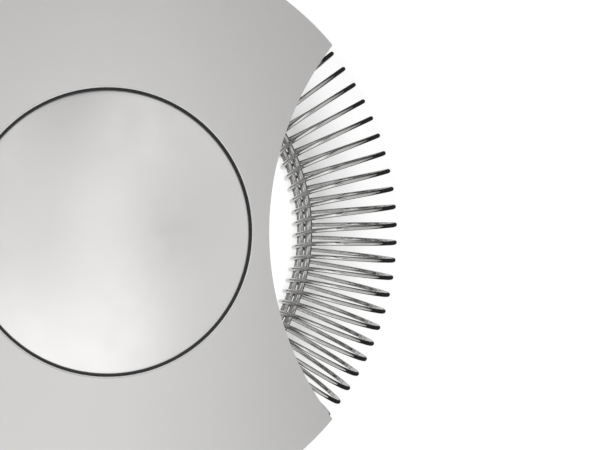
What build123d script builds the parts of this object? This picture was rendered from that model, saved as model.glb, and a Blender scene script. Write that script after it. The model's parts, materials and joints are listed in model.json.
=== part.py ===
"""Wall-mounted convex mirror with a coil-spring rim.

A shallow convex disc sits in a round hole of a flat steel face plate. Two round notches in the plate's sides
show a long spring, bent into a ring behind the plate. A pan behind the plate carries both, and a two-axis
knuckle joins the pan to a wall bracket.

Millimetres. +Z is up, +X is to the right of someone facing the mirror, and the mirror faces -Y. The origin is
on the wall, at the middle of the bracket's bolt circle. Depths are distances from the wall, so y = -depth.
Angles round the face run clockwise from the top, as seen from the front.
"""
from build123d import *
from math import cos, hypot, pi, radians, sin, sqrt
import os

# Face plate
FACE_RADIUS = 300.0
FACE_SHEET = 2.0
FACE_BACK = 176.0                # depth of the plate's rear face
HOLE_RADIUS = 150.0
NOTCH_RADIUS = 315.0
NOTCH_CENTRE = 481.0             # from the middle of the face to the middle of each notch's arc
NOTCH_CORNER = 2.0

# Convex disc
DOME_RADIUS = 145.2
DOME_SPHERE = 690.0              # radius that the disc is curved to
DOME_SHEET = 1.5
DOME_EDGE = FACE_BACK + FACE_SHEET + 1.0
DOME_CORNER = 2.0
SKIRT_BACK = 164.0

# Pan behind the face
SHEET = 2.0
PAN_BACK = 116.0
PAN_RADIUS = 160.5
PAN_LIP_RADIUS = 148.5           # inner edge of the lip that the face plate is bolted to
PAN_BEND = 6.0

# Spring and the two ring rods that it is threaded on
TURNS = 100
SPRING_LENGTHS = 11              # the wire is drawn in lengths that meet end to end, one node each
LENGTH_TURNS = (TURNS - 1) // SPRING_LENGTHS
INNER_SHARE = 0.83               # how far a turn has advanced, in turns, where it passes inside the rods
SAG = 0.1153                     # share by which the spring's weight packs its lowest turns and opens its top ones
FIRST_TURN = 0.742               # where the first turn starts, in turns past the top
SPRING_RING = 244.0
TURN_RADIUS = 53.0
WIRE = 4.6
SPRING_DEPTH = 118.6
ROD_RINGS = {"ring_rod_inner": 198.2, "ring_rod_outer": 206.7}
ROD_RADIUS = 3.75
END_CAP = 8.0

# Arms from the pan to the ring rods
ARM_TURNS = (0, 7, 41, 49, 57, 92)   # turns of the spring beside which an arm passes
ARM_SHARE = 0.3                  # where the arm passes, in turns past its turn's outer end
ARM_THICK = 3.0
ARM_FOOT = (126.0, 148.0)        # depths that the foot spans
ARM_TIP = (109.0, 129.0)
ARM_REACH = 214.0
ARM_KNEE = 185.0
FOOT_SHEET = 3.0
FOOT_WIDTH = 30.0
SCREW_SPREAD = 9.0

# Knuckle and its two axes
PAN_AXIS = 34.0
TILT_AXIS = 74.0
KNUCKLE_RADIUS = 18.0
KNUCKLE_HALF = 20.0
NECK_HALF = 15.0
LUG_THICK = 8.0
DISC_THICK = 1.5
RUNNING_GAP = 0.2
PIVOT_BOLT = 12.0
PIVOT_FIT = 0.05                 # radial clearance of the bolts in the knuckle
BOLT_HOLE_FIT = 0.25             # radial clearance of bolts in plates

# Wall bracket
WALL_RADIUS = 65.0
WALL_SHEET = 6.0
WALL_PCD = 100.0
WALL_HOLE = 9.0

# Tilt clevis
FLANGE_HALF = 48.0
FLANGE_SHEET = 6.0
FLANGE_CORNER = 10.0
CLEVIS_BOLT = 8.0
CLEVIS_BOLT_HALF = 36.0

# Fasteners of the disc, face plate and arms
DOME_STUD = 6.0
DOME_STUD_RING = 90.0
SPACER_RADIUS = 7.0
FACE_STUD = 4.0
FACE_STUDS = 12
FACE_STUD_RING = 153.5
ARM_SCREW = 5.0

# Pads between the spring and the plate
PAD_ANGLES = (-42, -17, 17, 42, 138, 163, 197, 222)
PAD_SIZE = (14.0, 30.0)
PAD_THICK = 1.5

FINE = 0.05                      # gap between two pieces that only have to clear each other

LUG_INNER = KNUCKLE_HALF + RUNNING_GAP + DISC_THICK
LUG_OUTER = LUG_INNER + LUG_THICK
HEX_NUT = {4.0: (7.0, 3.2), 5.0: (8.0, 4.0), 6.0: (10.0, 5.0), 8.0: (13.0, 6.5), 12.0: (19.0, 10.0)}
WASHER = {6.0: (6.0, 1.6), 8.0: (8.0, 1.6), 12.0: (12.0, 2.5)}   # outer radius, thickness
CORNERS = [(x, z) for x in (-1, 1) for z in (-1, 1)]


# Building blocks

def block(x, depth, z):
    """Box between the pairs of limits x and z, and between two depths."""
    size = (x[1] - x[0], depth[1] - depth[0], z[1] - z[0])
    return Pos(sum(x) / 2, -sum(depth) / 2, sum(z) / 2) * Box(*size)


def bar(radius, back, front, x=0.0, z=0.0):
    """Round bar that runs straight out from the wall."""
    return Pos(x, -(back + front) / 2, z) * Rot(90, 0, 0) * Cylinder(radius, front - back)


def ring(outer, inner, back, front, x=0.0, z=0.0):
    return bar(outer, back, front, x, z) - bar(inner, back - 1, front + 1, x, z)


def aim(shape, at, axis):
    """Puts a shape that was built along +Z at a point, along an axis."""
    return Plane(origin=at, z_dir=axis).location * shape


def upright(radius, low, high):
    """Round bar along +Z."""
    return Pos(0, 0, (low + high) / 2) * Cylinder(radius, high - low)


def hexagon(width, low, high):
    """Six-sided bar along +Z, `width` across its flats."""
    return Pos(0, 0, low) * extrude(RegularPolygon(width / sqrt(3), 6), high - low)


def hex_bolt(size, length):
    """Hexagon bolt with the underside of its head at 0 and its shank towards -Z."""
    width, height = HEX_NUT[size]
    head = hexagon(width, 0, height * 0.65) & Pos(0, 0, height * 0.65) * Sphere(width * 0.62)
    return head + upright(size / 2, -length, 0)


def hex_nut(size):
    """Nut that stands on 0."""
    width, height = HEX_NUT[size]
    return hexagon(width, 0, height) - upright(size / 2, -1, height + 1)


def washer(size):
    outer, thick = WASHER[size]
    return upright(outer, 0, thick) - upright(size / 2 + BOLT_HOLE_FIT, -1, thick + 1)


def turned(points):
    """Solid of revolution about the mirror's axis, from (radius, depth) corners."""
    return revolve(make_face(Polyline(*[(r, -d) for r, d in points], close=True)), Axis.Y)


def at_angle(shape, angle):
    """Turns a shape that was built towards +X to an angle from the top."""
    return Rot(0, angle - 90, 0) * shape


# Wall bracket and knuckle

def lug(axis_depth, root_depth):
    """Flat lug with a round end, lying across Z between the knuckle and its outer face."""
    reach = sorted((axis_depth, root_depth))
    body = block((-KNUCKLE_RADIUS, KNUCKLE_RADIUS), reach, (LUG_INNER, LUG_OUTER))
    eye = Pos(0, -axis_depth, 0) * upright(KNUCKLE_RADIUS, LUG_INNER, LUG_OUTER)
    hole = Pos(0, -axis_depth, 0) * upright(PIVOT_BOLT / 2 + FINE, LUG_INNER - 1, LUG_OUTER + 1)
    return body + eye - hole


def lug_pair(axis_depth, root_depth):
    one = lug(axis_depth, root_depth)
    return one + mirror(one, Plane.XY)


def wall_bracket():
    base = fillet(bar(WALL_RADIUS, 0, WALL_SHEET).edges().group_by(Axis.Y)[0], 1.0)
    base += lug_pair(PAN_AXIS, WALL_SHEET - 1)
    for i in range(4):
        angle = radians(45 + 90 * i)
        x, z = WALL_PCD / 2 * cos(angle), WALL_PCD / 2 * sin(angle)
        base -= bar(WALL_HOLE / 2, -1, WALL_SHEET + 1, x, z)
    return base


def swivel_knuckle():
    """Two crossed barrels: the upright one turns on the bracket, the level one carries the mirror."""
    upright_barrel = Pos(0, -PAN_AXIS, 0) * upright(KNUCKLE_RADIUS, -KNUCKLE_HALF, KNUCKLE_HALF)
    level_barrel = Pos(0, -TILT_AXIS, 0) * Rot(0, 90, 0) * upright(KNUCKLE_RADIUS, -KNUCKLE_HALF, KNUCKLE_HALF)
    neck = (-NECK_HALF, NECK_HALF)
    bore = upright(PIVOT_BOLT / 2 + PIVOT_FIT, -2 * KNUCKLE_HALF, 2 * KNUCKLE_HALF)
    body = upright_barrel + block(neck, (PAN_AXIS, TILT_AXIS), neck) + level_barrel
    return body - Pos(0, -PAN_AXIS, 0) * bore - Pos(0, -TILT_AXIS, 0) * Rot(0, 90, 0) * bore


def pivot_set():
    """Bolt, nut, washers and friction discs of one axis, along +Z."""
    outer, thick = WASHER[PIVOT_BOLT]
    height = HEX_NUT[PIVOT_BOLT][1]
    seat = LUG_OUTER + thick
    bolt = Pos(0, 0, seat) * hex_bolt(PIVOT_BOLT, 2 * seat + height + 3)
    nut = Pos(0, 0, -seat - height) * hex_nut(PIVOT_BOLT)
    washers = Pos(0, 0, LUG_OUTER) * washer(PIVOT_BOLT) + Pos(0, 0, -seat) * washer(PIVOT_BOLT)
    disc = upright(KNUCKLE_RADIUS, LUG_INNER - DISC_THICK, LUG_INNER)
    disc -= upright(PIVOT_BOLT / 2 + BOLT_HOLE_FIT, 0, LUG_INNER + 1)
    return {"bolt": bolt, "nut": nut, "washers": washers, "friction_discs": disc + mirror(disc, Plane.XY)}


# Tilt clevis and its bolts to the pan

def tilt_clevis():
    lugs = Pos(0, -TILT_AXIS, 0) * Rot(0, 90, 0) * Pos(0, TILT_AXIS, 0) * lug_pair(TILT_AXIS, PAN_BACK - 1)
    half = (-FLANGE_HALF, FLANGE_HALF)
    flange = block(half, (PAN_BACK - FLANGE_SHEET, PAN_BACK), half)
    flange = fillet(flange.edges().filter_by(Axis.Y), FLANGE_CORNER)
    body = flange + lugs
    for x, z in CORNERS:
        body -= clevis_hole(x, z)
    return body


def clevis_hole(x, z):
    radius = CLEVIS_BOLT / 2 + BOLT_HOLE_FIT
    return bar(radius, PAN_BACK - 2 * FLANGE_SHEET, PAN_BACK + 2 * SHEET, x * CLEVIS_BOLT_HALF, z * CLEVIS_BOLT_HALF)


def through_pan(shape, x, z, depth):
    """Puts a +Z shape at a point of the pan's floor, pointing out from the wall."""
    return aim(shape, (x, -depth, z), (0, -1, 0))


def clevis_fasteners():
    nut_back = PAN_BACK - FLANGE_SHEET - WASHER[CLEVIS_BOLT][1] - HEX_NUT[CLEVIS_BOLT][1]
    length = PAN_BACK + SHEET - nut_back + 3
    bolts, washers, nuts = [], [], []
    for x, z in CORNERS:
        px, pz = x * CLEVIS_BOLT_HALF, z * CLEVIS_BOLT_HALF
        bolts.append(through_pan(hex_bolt(CLEVIS_BOLT, length), px, pz, PAN_BACK + SHEET))
        washers.append(through_pan(washer(CLEVIS_BOLT), px, pz, nut_back + HEX_NUT[CLEVIS_BOLT][1]))
        nuts.append(through_pan(hex_nut(CLEVIS_BOLT), px, pz, nut_back))
    return {"clevis_bolts": bolts, "clevis_washers": washers, "clevis_nuts": nuts}


# Pan

def arm_angle(number):
    return turn_angle(ARM_TURNS[number] + FIRST_TURN + ARM_SHARE)


def circle_at(solid, radius, depth):
    """The solid's round edges of one radius, at one depth."""
    circles = solid.edges().filter_by(GeomType.CIRCLE)
    return [e for e in circles if abs(e.radius - radius) < FINE and abs(e.center().Y + depth) < FINE]


def back_pan():
    """Round pan, open to the front, with an inward lip for the face plate."""
    rim = [(PAN_RADIUS, PAN_BACK), (PAN_RADIUS, FACE_BACK), (PAN_LIP_RADIUS, FACE_BACK)]
    inside = [(PAN_LIP_RADIUS, FACE_BACK - SHEET), (PAN_RADIUS - SHEET, FACE_BACK - SHEET)]
    floor = [(PAN_RADIUS - SHEET, PAN_BACK + SHEET), (0, PAN_BACK + SHEET)]
    pan = turned([(0, PAN_BACK)] + rim + inside + floor)
    pan = fillet(circle_at(pan, PAN_RADIUS, PAN_BACK), PAN_BEND)
    pan = fillet(circle_at(pan, PAN_RADIUS - SHEET, PAN_BACK + SHEET), PAN_BEND - SHEET)
    for x, z in CORNERS:
        pan -= clevis_hole(x, z)
        pan -= bar(DOME_STUD / 2 + BOLT_HOLE_FIT, PAN_BACK - 1, PAN_BACK + SHEET + 1, *stud_place(x, z))
    for angle in face_stud_angles():
        pan -= at_angle(bar(FACE_STUD / 2 + BOLT_HOLE_FIT, FACE_BACK - SHEET - 1, FACE_BACK + 1, FACE_STUD_RING), angle)
    for number in range(len(ARM_TURNS)):
        pan -= at_angle(arm_holes(), arm_angle(number))
    return pan


# Convex disc

def dome_profile(inset):
    """Half section of the disc's outside, drawn `inset` inside it: a wide arc, a small bend and a skirt."""
    sphere, radius, corner = DOME_SPHERE - inset, DOME_RADIUS - inset, DOME_CORNER
    centre = DOME_EDGE - sqrt(DOME_SPHERE ** 2 - DOME_RADIUS ** 2)
    bend_r = radius - corner
    bend_d = centre + sqrt((sphere - corner) ** 2 - bend_r ** 2)
    share = sphere / (sphere - corner)
    touch = (bend_r * share, centre + (bend_d - centre) * share)
    middle = (touch[0] / 2, centre + sqrt(sphere ** 2 - (touch[0] / 2) ** 2))
    half = hypot(touch[0] - bend_r + corner, touch[1] - bend_d)
    bend_mid = (bend_r + corner * (touch[0] - bend_r + corner) / half, bend_d + corner * (touch[1] - bend_d) / half)
    back = SKIRT_BACK if inset == 0 else SKIRT_BACK - 1
    flip = [(r, -d) for r, d in ((0, centre + sphere), middle, touch, bend_mid, (radius, bend_d), (radius, back), (0, back))]
    top, mid, end, bent, side, low, axis = flip
    edges = [ThreePointArc(top, mid, end), ThreePointArc(end, bent, side), Line(side, low), Line(low, axis), Line(axis, top)]
    return make_face(Wire(edges))


def mirror_dome():
    return revolve(dome_profile(0), Axis.Y) - revolve(dome_profile(DOME_SHEET), Axis.Y)


def stud_place(x, z):
    return x * DOME_STUD_RING / sqrt(2), z * DOME_STUD_RING / sqrt(2)


def dome_backing():
    """Flat disc that closes the convex disc from behind and carries its studs."""
    return bar(DOME_RADIUS - DOME_SHEET - FINE, SKIRT_BACK, SKIRT_BACK + SHEET)


def dome_fasteners():
    washer_back = PAN_BACK - WASHER[DOME_STUD][1]
    nut_back = washer_back - HEX_NUT[DOME_STUD][1]
    studs, spacers, washers, nuts = [], [], [], []
    for x, z in CORNERS:
        px, pz = stud_place(x, z)
        studs.append(bar(DOME_STUD / 2, nut_back - 2, SKIRT_BACK, px, pz))
        spacers.append(ring(SPACER_RADIUS, DOME_STUD / 2 + BOLT_HOLE_FIT, PAN_BACK + SHEET, SKIRT_BACK, px, pz))
        washers.append(through_pan(washer(DOME_STUD), px, pz, washer_back))
        nuts.append(through_pan(hex_nut(DOME_STUD), px, pz, nut_back))
    return {"dome_studs": studs, "dome_spacers": spacers, "dome_washers": washers, "dome_nuts": nuts}


def dome_seal():
    """Soft ring behind the gap round the disc."""
    inner, outer = DOME_RADIUS + 2 * FINE, PAN_LIP_RADIUS + 0.8
    return ring(outer, inner, SKIRT_BACK, FACE_BACK - SHEET)


# Face plate

def face_plate():
    front = FACE_BACK + FACE_SHEET
    plate = ring(FACE_RADIUS, HOLE_RADIUS, FACE_BACK, front)
    for side in (-1, 1):
        plate -= bar(NOTCH_RADIUS, FACE_BACK - 1, front + 1, side * NOTCH_CENTRE)
    corners = [e for e in plate.edges().filter_by(Axis.Y) if hypot(e.center().X, e.center().Z) > FACE_RADIUS - 1]
    return fillet(corners, NOTCH_CORNER)


def face_stud_angles():
    return [(i + 0.5) * 360 / FACE_STUDS for i in range(FACE_STUDS)]


def face_fasteners():
    nut_back = FACE_BACK - SHEET - HEX_NUT[FACE_STUD][1]
    studs, nuts = [], []
    for angle in face_stud_angles():
        studs.append(at_angle(bar(FACE_STUD / 2, nut_back - 1.5, FACE_BACK, FACE_STUD_RING), angle))
        nuts.append(at_angle(through_pan(hex_nut(FACE_STUD), FACE_STUD_RING, 0, nut_back), angle))
    return {"face_studs": studs, "face_nuts": nuts}


# Spring, ring rods and arms

def turn_angle(turns):
    """Angle, in degrees from the top, of a point `turns` along the spring, which hangs a little closer below."""
    even = 2 * pi * turns / TURNS
    return (even + SAG * sin(even) + SAG ** 2 / 2 * sin(2 * even)) * 180 / pi


def ring_point(radius, turns):
    angle = radians(turn_angle(turns))
    return Vector(radius * sin(angle), -SPRING_DEPTH, radius * cos(angle))


def half_turn(start, end, side):
    """Half circle between two points, bulging towards the front for -1 and the wall for +1."""
    half = (end - start) / 2
    return ThreePointArc(start, start + half + Vector(0, side * half.length, 0), end)


def spring_length(number):
    """Some turns of the wire in half circles: each runs in across the front and out again behind."""
    edges = []
    for i in range(number * LENGTH_TURNS, (number + 1) * LENGTH_TURNS):
        turns = i + FIRST_TURN
        start = ring_point(SPRING_RING + TURN_RADIUS, turns)
        inner = ring_point(SPRING_RING - TURN_RADIUS, turns + INNER_SHARE)
        end = ring_point(SPRING_RING + TURN_RADIUS, turns + 1)
        edges += [half_turn(start, inner, -1), half_turn(inner, end, 1)]
    section = Plane(origin=edges[0] @ 0, z_dir=edges[0] % 0) * Circle(WIRE / 2)
    return sweep(section, path=Wire(edges))


def coil_end_caps():
    """Short round caps on the spring's two ends."""
    caps = []
    for turns, side in ((FIRST_TURN, 1), (FIRST_TURN + TURNS - 1, -1)):
        tip = ring_point(SPRING_RING + TURN_RADIUS, turns)
        cap = aim(upright(WIRE / 2 + 0.7, 0, END_CAP), tip, (0, side, 0))
        caps.append(cap)
    return caps


def rod(radius):
    return Pos(0, -SPRING_DEPTH, 0) * Rot(90, 0, 0) * Torus(radius, ROD_RADIUS)


def arm_holes():
    """Holes for the two screws of an arm that points towards +X."""
    holes = []
    for z in (-SCREW_SPREAD, SCREW_SPREAD):
        place = (PAN_RADIUS - 12, -sum(ARM_FOOT) / 2, z)
        holes.append(aim(upright(ARM_SCREW / 2 + BOLT_HOLE_FIT, 0, 20), place, (1, 0, 0)))
    return holes[0] + holes[1]


def ring_arm():
    """Bent arm towards +X: a curved foot on the pan's side and a flat blade that the ring rods pass through."""
    blade_root = PAN_RADIUS + FOOT_SHEET - 1
    outline = [(blade_root, ARM_FOOT[0]), (ARM_KNEE, ARM_TIP[0]), (ARM_REACH, ARM_TIP[0]),
               (ARM_REACH, ARM_TIP[1]), (ARM_KNEE + 5, ARM_TIP[1]), (blade_root, ARM_FOOT[1])]
    blade = extrude(make_face(Polyline(*[(x, -d) for x, d in outline], close=True)), ARM_THICK / 2, both=True)
    foot = ring(PAN_RADIUS + FOOT_SHEET, PAN_RADIUS, *ARM_FOOT)
    foot &= block((0, ARM_REACH), ARM_FOOT, (-FOOT_WIDTH / 2, FOOT_WIDTH / 2))
    arm = foot + blade - arm_holes()
    for radius in ROD_RINGS.values():
        arm -= Pos(0, -SPRING_DEPTH, 0) * Rot(90, 0, 0) * Torus(radius, ROD_RADIUS + FINE)
    return arm


def arm_fasteners():
    width, height = HEX_NUT[ARM_SCREW]
    half = SCREW_SPREAD + width / 2
    seat_out = PAN_RADIUS + FOOT_SHEET
    seat_in = sqrt((PAN_RADIUS - SHEET) ** 2 - half ** 2) - height - 0.2
    screws, nuts = [], []
    for number in range(len(ARM_TURNS)):
        for z in (-SCREW_SPREAD, SCREW_SPREAD):
            depth = sum(ARM_FOOT) / 2
            head = upright(ARM_SCREW * 0.95, 0, 2.8) + upright(ARM_SCREW / 2, seat_in - seat_out - 1, 0)
            screw = aim(head, (seat_out, -depth, z), (1, 0, 0))
            nut = aim(hex_nut(ARM_SCREW), (seat_in, -depth, z), (1, 0, 0))
            screws.append(at_angle(screw, arm_angle(number)))
            nuts.append(at_angle(nut, arm_angle(number)))
    return {"arm_screws": screws, "arm_nuts": nuts}


def spring_pads():
    """Soft pads on the plate's back that keep the spring from rattling."""
    length, width = PAD_SIZE
    limits = (SPRING_RING - length / 2, SPRING_RING + length / 2)
    pad = block(limits, (FACE_BACK - PAD_THICK, FACE_BACK), (-width / 2, width / 2))
    return [at_angle(pad, angle) for angle in PAD_ANGLES]


def main():
    nodes = {
        "wall_bracket": wall_bracket(),
        "swivel_knuckle": swivel_knuckle(),
        "tilt_clevis": tilt_clevis(),
        "back_pan": back_pan(),
        "mirror_dome": mirror_dome(),
        "dome_backing": dome_backing(),
        "dome_seal": dome_seal(),
        "face_plate": face_plate(),
        "coil_end_caps": coil_end_caps(),
        "spring_pads": spring_pads(),
    }
    pivot = pivot_set()
    for name, shape in pivot.items():
        nodes["pan_" + name] = Pos(0, -PAN_AXIS, 0) * shape
        nodes["tilt_" + name] = Pos(0, -TILT_AXIS, 0) * Rot(0, 90, 0) * shape
    for name, radius in ROD_RINGS.items():
        nodes[name] = rod(radius)
    for number in range(SPRING_LENGTHS):
        nodes[f"spring_coil_{number + 1}"] = spring_length(number)
    for number in range(len(ARM_TURNS)):
        nodes[f"ring_arm_{number + 1}"] = at_angle(ring_arm(), arm_angle(number))
    for group in (clevis_fasteners(), dome_fasteners(), face_fasteners(), arm_fasteners()):
        nodes.update(group)

    os.makedirs("parts", exist_ok=True)
    for name, shape in nodes.items():
        solids = [s for piece in (shape if isinstance(shape, list) else [shape]) for s in piece.solids()]
        export_step(solids[0] if len(solids) == 1 else Compound(solids), f"parts/{name}.step")


main()
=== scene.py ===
import json
import math

import bpy
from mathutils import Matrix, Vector


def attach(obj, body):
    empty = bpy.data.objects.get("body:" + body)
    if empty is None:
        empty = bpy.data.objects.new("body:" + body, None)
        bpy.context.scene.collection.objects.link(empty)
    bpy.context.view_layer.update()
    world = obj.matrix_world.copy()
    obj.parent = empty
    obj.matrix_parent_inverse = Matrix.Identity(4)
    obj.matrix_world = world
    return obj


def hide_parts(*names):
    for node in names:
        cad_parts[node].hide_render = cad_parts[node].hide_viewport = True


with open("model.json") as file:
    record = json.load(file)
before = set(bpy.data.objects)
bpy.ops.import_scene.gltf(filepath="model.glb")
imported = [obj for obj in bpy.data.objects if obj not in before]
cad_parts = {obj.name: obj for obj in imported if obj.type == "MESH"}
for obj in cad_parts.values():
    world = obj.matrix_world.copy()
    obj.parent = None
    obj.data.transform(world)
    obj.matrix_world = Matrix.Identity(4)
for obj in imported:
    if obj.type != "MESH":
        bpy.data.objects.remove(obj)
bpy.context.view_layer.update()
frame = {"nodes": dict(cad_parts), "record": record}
NODES = frame["nodes"]
HEAD = "mirror_head"

# The spring, in metres and turns. Its sizes are the CAD model's, and its wire leans over the ring rods here.
TURNS = 100
SAG = 0.1153
FIRST_TURN = 0.742
SPRING_RING = 0.244
TURN_RADIUS = 0.053
WIRE_RADIUS = 0.0023
SPRING_DEPTH = 0.1186
TURN_STEPS = 60
WIRE_SIDES = 14
# (share of the way round one turn, how far that turn has advanced along the ring)
ADVANCE = ((0.0, 0.0), (0.25, 0.19), (0.36, 0.35), (0.45, 0.66), (0.5, 0.78), (0.56, 0.82), (0.75, 0.9),
           (1.0, 1.0))

ROD_RINGS = {"ring_rod_inner": 0.1982, "ring_rod_outer": 0.2067}
ROD_RADIUS = 0.00375
ROD_STEPS, ROD_SIDES = 360, 24

# The convex disc: its sheet, the sphere it is curved to, and the depths where curve and skirt end
DOME_SHEET = 0.0015
DOME_SPHERE = 0.69
DOME_RADIUS = 0.1452
DOME_CORNER = 0.002
DOME_EDGE = 0.179
SKIRT_BACK = 0.164
CURVE_STEPS, CORNER_STEPS, DISC_STEPS = 40, 6, 240
SHARP_EDGE = math.radians(40)    # edges that turn more than this are drawn sharp

# The camera looks straight at the wall, and the plate would take up FACE_SHARE of the picture's width
FACE_FRONT = -0.178
FACE_WIDTH = 0.6
FACE_SHARE = 293 / 300
CAMERA_X, CAMERA_Z = 0.1975, 0.0072
CAMERA_DISTANCE = 2.4
SENSOR = 36.0
CLIP_END = 50

# The stage, in metres
STAGE_HALF_WIDTH = 3.0
WALL_TOP = 2.2
FLOOR_LEVEL = -1.2
FLOOR_DEPTH = 3.0
FLOOR_GLOW = 0.45
FLOOR_COLOUR = (0.8, 0.8, 0.8)
FLOOR_DARK, FLOOR_LIGHT = (0.78, 0.78, 0.78), (0.82, 0.82, 0.82)
WALL_COLOUR = (0.35, 0.35, 0.348)
WALL_GAP = 0.0005                # keeps the wall off the bracket's rear face
GLOW_REACH = 0.4                 # the two tables below cover distances from 0 to this
# (distance from the mirror's axis, brightness): the wall's painted glow, which dips into a painted shade ring
# behind the spring, then the painted reflection of it that glossy rays see instead
PAINTED_WALL_GLOW_AND_SHADE = ((0.0, 0.3), (0.172, 0.95), (0.186, 0.9), (0.202, 0.5), (0.221, 0.45), (0.237, 0.6),
             (0.254, 0.67), (0.27, 0.76), (0.287, 0.8), (0.305, 0.78), (0.335, 0.95))
PAINTED_WALL_REFLECTION = ((0.0, 0.9), (0.17, 1.0), (0.2, 0.9), (0.28, 0.75), (0.32, 0.03))

# The light tent round it all, by how far forward a direction points: dark beside the object and at the lens
TENT = ((0.0, 0.03), (0.12, 0.06), (0.3, 0.35), (0.5, 0.6), (0.7, 0.8), (0.88, 1.0), (0.98, 1.0), (0.99, 0.0))
# By how far right a direction points: a dark upright gap left of the lens, and a grey glow far to the right
TENT_GAP = ((-0.34, 1.0), (-0.28, 0.1), (-0.16, 0.1), (-0.1, 1.0))
RIGHT_GLOW = ((0.7, 0.0), (0.88, 0.35))
WORLD_LEVEL = 0.9
BACKGROUND = (1.0, 1.0, 1.0, 1)
# name: place, point it faces, width and height, power in watts
SOFTBOXES = {
    "middle_softbox": ((-0.09, -1.2, 0.0), (0.0, -0.18, 0.0), (0.33, 0.5), 0.35),
    "big_softbox": ((-0.25, -1.4, 0.0), (0.0, -0.18, 0.0), (0.9, 1.6), 1.7),
    "low_softbox": ((-0.45, -1.0, -0.75), (0.0, -0.18, -0.1), (1.4, 1.0), 2.2),
}


# Mesh helpers

def mesh_object(name, vertices, faces):
    mesh = bpy.data.meshes.new(name)
    mesh.from_pydata(vertices, [], faces)
    mesh.polygons.foreach_set("use_smooth", [True] * len(mesh.polygons))
    obj = bpy.data.objects.new(name, mesh)
    bpy.context.scene.collection.objects.link(obj)
    return obj


def tube(name, path, radius, sides, closed=False):
    """Round tube along a list of points, without twist. Its ends are capped, or joined if closed."""
    count = len(path)
    vertices, faces, normal = [], [], None
    for i, point in enumerate(path):
        ahead = path[(i + 1) % count] if closed or i < count - 1 else point
        behind = path[i - 1] if closed or i > 0 else point
        tangent = (ahead - behind).normalized()
        normal = tangent.orthogonal() if normal is None else normal - tangent * normal.dot(tangent)
        normal.normalize()
        side = tangent.cross(normal)
        for j in range(sides):
            turn = 2 * math.pi * j / sides
            vertices.append(point + (normal * math.cos(turn) + side * math.sin(turn)) * radius)
    for i in range(count if closed else count - 1):
        a, b = i * sides, (i + 1) % count * sides
        for j in range(sides):
            k = (j + 1) % sides
            faces.append((a + j, b + j, b + k, a + k))
    if not closed:
        faces.append(tuple(range(sides)))
        faces.append(tuple((count - 1) * sides + j for j in reversed(range(sides))))
    return mesh_object(name, vertices, faces)


# The convex disc

def dome_profile(inset):
    """(radius, depth) points of the disc's outer or inner face, from its middle out and down its skirt."""
    sphere, radius, corner = DOME_SPHERE - inset, DOME_RADIUS - inset, DOME_CORNER - inset
    centre = DOME_EDGE - math.sqrt(DOME_SPHERE ** 2 - DOME_RADIUS ** 2)
    edge = math.asin((radius - corner) / (sphere - corner))
    turn = centre + (sphere - corner) * math.cos(edge)
    points = []
    for i in range(CURVE_STEPS + 1):
        angle = edge * i / CURVE_STEPS
        points.append((sphere * math.sin(angle), centre + sphere * math.cos(angle)))
    for i in range(1, CORNER_STEPS + 1):
        angle = edge + (math.pi / 2 - edge) * i / CORNER_STEPS
        points.append((radius - corner + corner * math.sin(angle), turn + corner * math.cos(angle)))
    return points + [(radius, SKIRT_BACK)]


def mirror_disc():
    """The disc's shell turned round the mirror's axis, with one point at the middle of each face."""
    profile = dome_profile(0)[1:] + dome_profile(DOME_SHEET)[:0:-1]
    front, back = dome_profile(0)[0][1], dome_profile(DOME_SHEET)[0][1]
    vertices, faces = [Vector((0, -front, 0)), Vector((0, -back, 0))], []
    count = len(profile)
    for i in range(DISC_STEPS):
        angle = 2 * math.pi * i / DISC_STEPS
        vertices += [Vector((r * math.sin(angle), -depth, r * math.cos(angle))) for r, depth in profile]
    for i in range(DISC_STEPS):
        a, b = 2 + i * count, 2 + (i + 1) % DISC_STEPS * count
        faces.append((0, b, a))
        faces.append((1, a + count - 1, b + count - 1))
        for j in range(count - 1):
            faces.append((a + j, b + j, b + j + 1, a + j + 1))
    disc = mesh_object("mirror_disc", vertices, faces)
    disc.data.set_sharp_from_angle(angle=SHARP_EDGE)
    return disc


# The spring and its rods

def turn_angle(turns):
    """Angle in radians, clockwise from the top, of a point `turns` along the spring."""
    even = 2 * math.pi * turns / TURNS
    return even + SAG * math.sin(even) + SAG ** 2 / 2 * math.sin(2 * even)


def advance(share):
    """Smooth curve through ADVANCE: a cubic between each two of its points."""
    slopes = []
    for i in range(len(ADVANCE)):
        low, high = ADVANCE[max(i - 1, 0)], ADVANCE[min(i + 1, len(ADVANCE) - 1)]
        slopes.append((high[1] - low[1]) / (high[0] - low[0]))
    for i in range(len(ADVANCE) - 1):
        (x0, y0), (x1, y1) = ADVANCE[i], ADVANCE[i + 1]
        if share <= x1:
            width = x1 - x0
            t = (share - x0) / width
            rise = y1 - y0
            start, end = slopes[i] * width, slopes[i + 1] * width
            return y0 + start * t + (3 * rise - 2 * start - end) * t ** 2 + (start + end - 2 * rise) * t ** 3
    return 1.0


def spring_wire():
    """The whole spring as one wire, TURNS - 1 turns long."""
    path = []
    for i in range((TURNS - 1) * TURN_STEPS + 1):
        whole, part = divmod(i, TURN_STEPS)
        share = part / TURN_STEPS
        angle = turn_angle(FIRST_TURN + whole + advance(share))
        radius = SPRING_RING + TURN_RADIUS * math.cos(2 * math.pi * share)
        depth = SPRING_DEPTH + TURN_RADIUS * math.sin(2 * math.pi * share)
        path.append(Vector((radius * math.sin(angle), -depth, radius * math.cos(angle))))
    return tube("spring_wire", path, WIRE_RADIUS, WIRE_SIDES)


def ring_rod(name, ring_radius):
    path = []
    for i in range(ROD_STEPS):
        angle = 2 * math.pi * i / ROD_STEPS
        path.append(Vector((ring_radius * math.sin(angle), -SPRING_DEPTH, ring_radius * math.cos(angle))))
    return tube(name + "_bright", path, ROD_RADIUS, ROD_SIDES, closed=True)


# Materials

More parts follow.
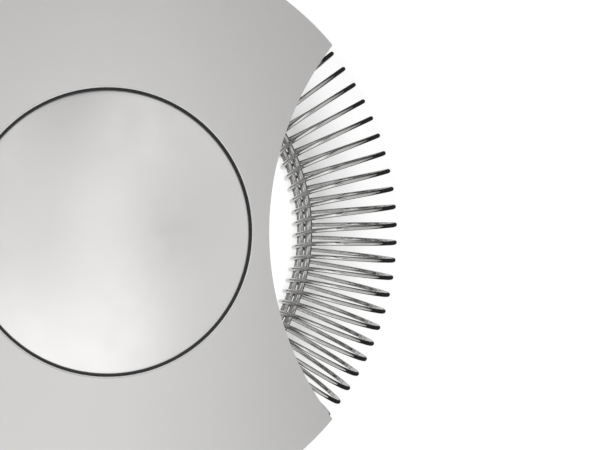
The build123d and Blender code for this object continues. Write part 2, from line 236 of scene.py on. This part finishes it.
def new_material(name, colour, roughness, metallic=1.0):
    material = bpy.data.materials.new(name)
    material.use_nodes = True
    shader = material.node_tree.nodes["Principled BSDF"]
    shader.inputs["Base Color"].default_value = (*colour, 1)
    shader.inputs["Metallic"].default_value = metallic
    shader.inputs["Roughness"].default_value = roughness
    return material, material.node_tree, shader


def link(tree, source, target):
    tree.links.new(source, target)


def noise(tree, scale, detail=4.0, stretch=(1, 1, 1), offset=(0, 0, 0)):
    """Noise in object coordinates, stretched along the axes."""
    place = tree.nodes.new("ShaderNodeTexCoord")
    mapping = tree.nodes.new("ShaderNodeMapping")
    mapping.inputs["Scale"].default_value = stretch
    mapping.inputs["Location"].default_value = offset
    texture = tree.nodes.new("ShaderNodeTexNoise")
    texture.inputs["Scale"].default_value = scale
    texture.inputs["Detail"].default_value = detail
    link(tree, place.outputs["Object"], mapping.inputs["Vector"])
    link(tree, mapping.outputs["Vector"], texture.inputs["Vector"])
    return texture.outputs["Fac"]


def spread(tree, source, low, high, start=0.3, end=0.7):
    """Maps the range start to end of a value to the range low to high."""
    node = tree.nodes.new("ShaderNodeMapRange")
    node.inputs["From Min"].default_value = start
    node.inputs["From Max"].default_value = end
    node.inputs["To Min"].default_value = low
    node.inputs["To Max"].default_value = high
    link(tree, source, node.inputs["Value"])
    return node.outputs["Result"]


def tint(tree, source, dark, light):
    node = tree.nodes.new("ShaderNodeMix")
    node.data_type = "RGBA"
    node.inputs["A"].default_value = (*dark, 1)
    node.inputs["B"].default_value = (*light, 1)
    link(tree, source, node.inputs["Factor"])
    return node.outputs["Result"]


def combine(tree, blend, first, second):
    """Puts two colours together by a blend type, such as MULTIPLY."""
    node = tree.nodes.new("ShaderNodeMix")
    node.data_type = "RGBA"
    node.blend_type = blend
    node.inputs["Factor"].default_value = 1.0
    link(tree, first, node.inputs["A"])
    link(tree, second, node.inputs["B"])
    return node.outputs["Result"]


def bump(tree, source, shader, strength, distance):
    node = tree.nodes.new("ShaderNodeBump")
    node.inputs["Strength"].default_value = strength
    node.inputs["Distance"].default_value = distance
    link(tree, source, node.inputs["Height"])
    link(tree, node.outputs["Normal"], shader.inputs["Normal"])


def satin_steel(name, colour, roughness, grain=(1, 1, 60), depth=0.00002):
    """Sheet steel with a fine directional grain, faint clouding and slight changes of gloss."""
    material, tree, shader = new_material(name, colour, roughness)
    fine = noise(tree, scale=40, detail=6, stretch=grain)
    cloud = noise(tree, scale=5, detail=3, offset=(3, 1, 2))
    dark = tuple(c * 0.97 for c in colour)
    link(tree, tint(tree, spread(tree, cloud, 0, 1), dark, colour), shader.inputs["Base Color"])
    link(tree, spread(tree, fine, roughness - 0.03, roughness + 0.04), shader.inputs["Roughness"])
    bump(tree, fine, shader, strength=0.15, distance=depth)
    return material


def bright_wire(name, colour, roughness):
    """Drawn wire: bright, with faint lengthwise die marks and a little clouding."""
    material, tree, shader = new_material(name, colour, roughness)
    marks = noise(tree, scale=220, detail=3)
    link(tree, spread(tree, marks, roughness - 0.03, roughness + 0.05), shader.inputs["Roughness"])
    dark = tuple(c * 0.9 for c in colour)
    cloud = noise(tree, scale=60)
    link(tree, tint(tree, spread(tree, cloud, 0, 1), dark, colour), shader.inputs["Base Color"])
    return material


def powder_coat(name, colour):
    material, tree, shader = new_material(name, colour, 0.5, metallic=0.0)
    peel = noise(tree, scale=900, detail=2)
    link(tree, spread(tree, peel, 0.42, 0.58), shader.inputs["Roughness"])
    lighter = tuple(min(1, c * 1.12) for c in colour)
    cloud = noise(tree, scale=25)
    link(tree, tint(tree, spread(tree, cloud, 0, 1), colour, lighter), shader.inputs["Base Color"])
    bump(tree, peel, shader, strength=0.25, distance=0.0001)
    return material


def soft_black(name, colour, roughness, scale):
    material, tree, shader = new_material(name, colour, roughness, metallic=0.0)
    grain = noise(tree, scale=scale, detail=3)
    lighter = tuple(c * 1.7 for c in colour)
    link(tree, tint(tree, spread(tree, grain, 0, 1), colour, lighter), shader.inputs["Base Color"])
    link(tree, spread(tree, grain, roughness - 0.08, roughness + 0.08), shader.inputs["Roughness"])
    bump(tree, grain, shader, strength=0.3, distance=0.0001)
    return material


def dress_nodes():
    """Gives every CAD node the material of its slot, and returns the materials by slot."""
    finish = {
        "face_steel": satin_steel("face_steel", (0.63, 0.622, 0.618), 0.36),
        "dome_steel": satin_steel("dome_steel", (0.73, 0.722, 0.716), 0.34, grain=(1, 1, 1)),
        "spring_wire": bright_wire("spring_wire", (0.58, 0.575, 0.57), 0.06),
        "rod_steel": bright_wire("rod_steel", (0.6, 0.595, 0.59), 0.14),
        "pan_steel": satin_steel("pan_steel", (0.5, 0.495, 0.49), 0.42),
        "pan_paint": powder_coat("pan_paint", (0.8, 0.8, 0.795)),
        "bracket_paint": powder_coat("bracket_paint", (0.3, 0.31, 0.32)),
        "rubber": soft_black("rubber", (0.03, 0.03, 0.03), 0.8, 300),
        "cap_plastic": soft_black("cap_plastic", (0.02, 0.02, 0.02), 0.5, 500),
        "friction_disc": soft_black("friction_disc", (0.05, 0.045, 0.04), 0.85, 700),
        "fastener_steel": satin_steel("fastener_steel", (0.58, 0.575, 0.57), 0.3, grain=(1, 1, 1)),
    }
    for part in frame["record"]["subparts"]:
        node = NODES[part["node"]]
        node.data.materials.clear()
        node.data.materials.append(finish[part["material_slot"]])
    return finish


# Stage

def ramp(tree, source, low, high, levels):
    """Grey ramp over the range low to high of a value; levels holds (value, grey) pairs."""
    node = tree.nodes.new("ShaderNodeValToRGB")
    stops = node.color_ramp.elements
    while len(stops) < len(levels):
        stops.new(0.5)
    for stop, (value, grey) in zip(stops, levels):
        stop.position = (value - low) / (high - low)
        stop.color = (grey, grey, grey, 1)
    link(tree, spread(tree, source, 0, 1, low, high), node.inputs["Fac"])
    return node.outputs["Color"]


def wall_material():
    """Matt paper with a painted glow by distance from the mirror's axis, which paints a shade ring behind the
    spring.
    Glossy reflections show a painted reflection of other brightness instead, and from behind the wall can't
    be seen."""
    material, tree, shader = new_material("white_wall", WALL_COLOUR, 1.0, metallic=0.0)
    shader.inputs["Specular IOR Level"].default_value = 0.0
    shader.inputs["Emission Strength"].default_value = 1.0
    place = tree.nodes.new("ShaderNodeTexCoord")
    distance = tree.nodes.new("ShaderNodeVectorMath")
    distance.operation = "LENGTH"
    link(tree, place.outputs["Object"], distance.inputs[0])
    radius = distance.outputs["Value"]
    # painted glow by distance from the axis, with a painted shade ring behind the spring
    link(tree, ramp(tree, radius, 0, GLOW_REACH, PAINTED_WALL_GLOW_AND_SHADE), shader.inputs["Emission Color"])
    # painted reflection: glossy rays see this brightness instead, dark past the spring's tips
    painted_reflection = tree.nodes.new("ShaderNodeEmission")
    link(tree, ramp(tree, radius, 0, GLOW_REACH, PAINTED_WALL_REFLECTION), painted_reflection.inputs["Color"])
    hidden = tree.nodes.new("ShaderNodeBsdfTransparent")
    ray = tree.nodes.new("ShaderNodeLightPath")
    side = tree.nodes.new("ShaderNodeNewGeometry")
    glossy = tree.nodes.new("ShaderNodeMixShader")
    back = tree.nodes.new("ShaderNodeMixShader")
    link(tree, ray.outputs["Is Glossy Ray"], glossy.inputs["Fac"])
    link(tree, shader.outputs["BSDF"], glossy.inputs[1])
    link(tree, painted_reflection.outputs["Emission"], glossy.inputs[2])
    link(tree, side.outputs["Backfacing"], back.inputs["Fac"])
    link(tree, glossy.outputs["Shader"], back.inputs[1])
    link(tree, hidden.outputs["BSDF"], back.inputs[2])
    link(tree, back.outputs["Shader"], tree.nodes["Material Output"].inputs["Surface"])
    return material


def floor_material():
    material, tree, shader = new_material("pale_floor", FLOOR_COLOUR, 0.9, metallic=0.0)
    mottle = spread(tree, noise(tree, scale=6), 0, 1)
    link(tree, tint(tree, mottle, FLOOR_DARK, FLOOR_LIGHT), shader.inputs["Base Color"])
    shader.inputs["Emission Color"].default_value = (*FLOOR_COLOUR, 1)
    shader.inputs["Emission Strength"].default_value = FLOOR_GLOW
    return material


def flat_sheet(name, corners, material):
    sheet = mesh_object(name, corners, [(0, 1, 2, 3)])
    sheet.data.materials.append(material)


def build_stage():
    left, right, low, high = -STAGE_HALF_WIDTH, STAGE_HALF_WIDTH, FLOOR_LEVEL, WALL_TOP
    flat_sheet("wall", [(left, WALL_GAP, low), (right, WALL_GAP, low), (right, WALL_GAP, high),
                        (left, WALL_GAP, high)], wall_material())
    flat_sheet("floor", [(left, -FLOOR_DEPTH, low), (right, -FLOOR_DEPTH, low), (right, 0, low),
                         (left, 0, low)], floor_material())


def light_tent():
    """The world lights the object as a white tent in front of it. The camera itself sees BACKGROUND."""
    world = bpy.data.worlds.new("tent")
    bpy.context.scene.world = world
    world.use_nodes = True
    tree = world.node_tree
    place = tree.nodes.new("ShaderNodeTexCoord")
    split = tree.nodes.new("ShaderNodeSeparateXYZ")
    link(tree, place.outputs["Generated"], split.inputs["Vector"])
    front = tree.nodes.new("ShaderNodeMath")
    front.operation = "MULTIPLY"
    front.inputs[1].default_value = -1
    link(tree, split.outputs["Y"], front.inputs[0])
    light = tree.nodes["Background"]
    light.inputs["Strength"].default_value = WORLD_LEVEL
    right = split.outputs["X"]
    tent = combine(tree, "MULTIPLY", ramp(tree, front.outputs["Value"], 0, 1, TENT),
                   ramp(tree, right, -1, 1, TENT_GAP))
    link(tree, combine(tree, "ADD", tent, ramp(tree, right, -1, 1, RIGHT_GLOW)), light.inputs["Color"])
    plain = tree.nodes.new("ShaderNodeBackground")
    plain.inputs["Color"].default_value = BACKGROUND
    ray = tree.nodes.new("ShaderNodeLightPath")
    either = tree.nodes.new("ShaderNodeMixShader")
    link(tree, ray.outputs["Is Camera Ray"], either.inputs["Fac"])
    link(tree, light.outputs["Background"], either.inputs[1])
    link(tree, plain.outputs["Background"], either.inputs[2])
    link(tree, either.outputs["Shader"], tree.nodes["World Output"].inputs["Surface"])


def softbox(name, place, target, size, power):
    lamp = bpy.data.lights.new(name, "AREA")
    lamp.shape = "RECTANGLE"
    lamp.size, lamp.size_y = size
    lamp.energy = power
    holder = bpy.data.objects.new(name, lamp)
    holder.location = place
    holder.visible_camera = False
    holder.rotation_euler = (Vector(target) - Vector(place)).to_track_quat("-Z", "Y").to_euler()
    bpy.context.scene.collection.objects.link(holder)


def build_lights():
    light_tent()
    for name, (place, target, size, power) in SOFTBOXES.items():
        softbox(name, place, target, size, power)


def build_camera():
    camera = bpy.data.cameras.new("camera")
    camera.sensor_width = SENSOR
    camera.lens = SENSOR * CAMERA_DISTANCE * FACE_SHARE / FACE_WIDTH
    camera.clip_end = CLIP_END
    holder = bpy.data.objects.new("camera", camera)
    holder.location = (CAMERA_X, FACE_FRONT - CAMERA_DISTANCE, CAMERA_Z)
    holder.rotation_euler = (math.pi / 2, 0, 0)
    bpy.context.scene.collection.objects.link(holder)
    bpy.context.scene.camera = holder


def stand_in(piece, slot, finish, *nodes):
    """Shows a redrawn piece of the mirror head in place of its CAD nodes."""
    piece.data.materials.append(finish[slot])
    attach(piece, HEAD)
    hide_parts(*nodes)


def main():
    finish = dress_nodes()
    coils = [name for name in NODES if name.startswith("spring_coil")]
    stand_in(spring_wire(), "spring_wire", finish, *coils)
    for name, radius in ROD_RINGS.items():
        stand_in(ring_rod(name, radius), "rod_steel", finish, name)
    stand_in(mirror_disc(), "dome_steel", finish, "mirror_dome")
    build_stage()
    build_lights()
    build_camera()
    bpy.context.scene.view_settings.view_transform = "Standard"


main()
